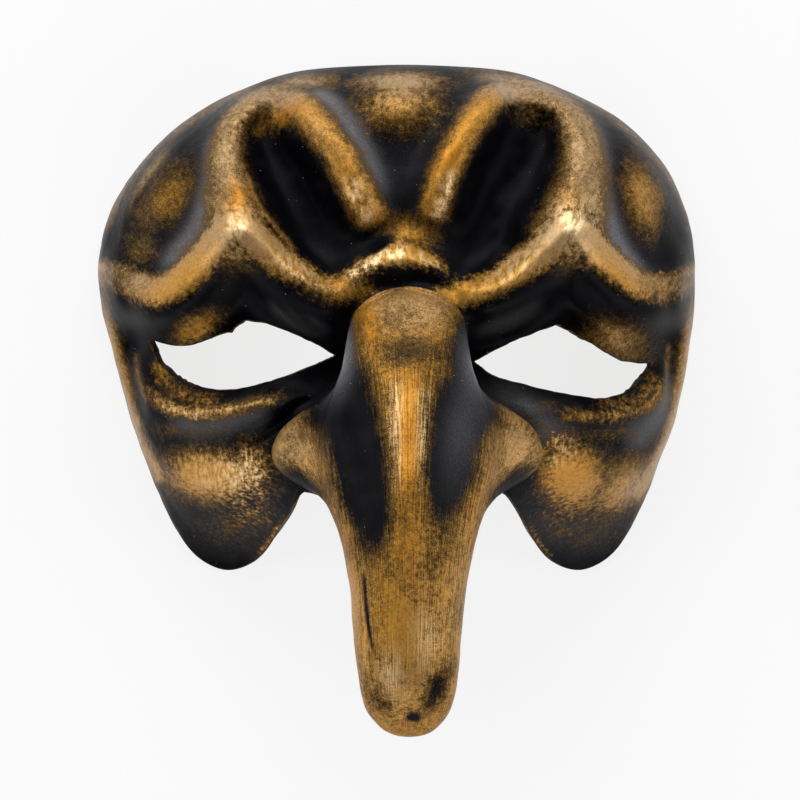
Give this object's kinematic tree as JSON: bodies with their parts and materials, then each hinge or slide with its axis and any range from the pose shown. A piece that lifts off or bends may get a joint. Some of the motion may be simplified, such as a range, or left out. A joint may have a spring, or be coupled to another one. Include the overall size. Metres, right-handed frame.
{
  "type": "pulcinella mask",
  "caption": "Thin papier-mache half mask over forehead, eyes and cheeks, with a furrowed brow, eye openings and a long drooping nose, black with rubbed gold.",
  "frame": {"origin": "centre of the bounding box, on the plane of the rim that the mask lies on", "axes": "+Z out of the face, which is up as the mask lies; +Y towards the forehead; +X to the right as the face is seen"},
  "size_m": [0.1776, 0.1854, 0.1051],
  "materials": {
    "painted_shell": "satin black paint with antique gold rubbed over the raised carving"
  },
  "bodies": {
    "root": {"mask": "painted_shell"}
  },
  "joints": []
}
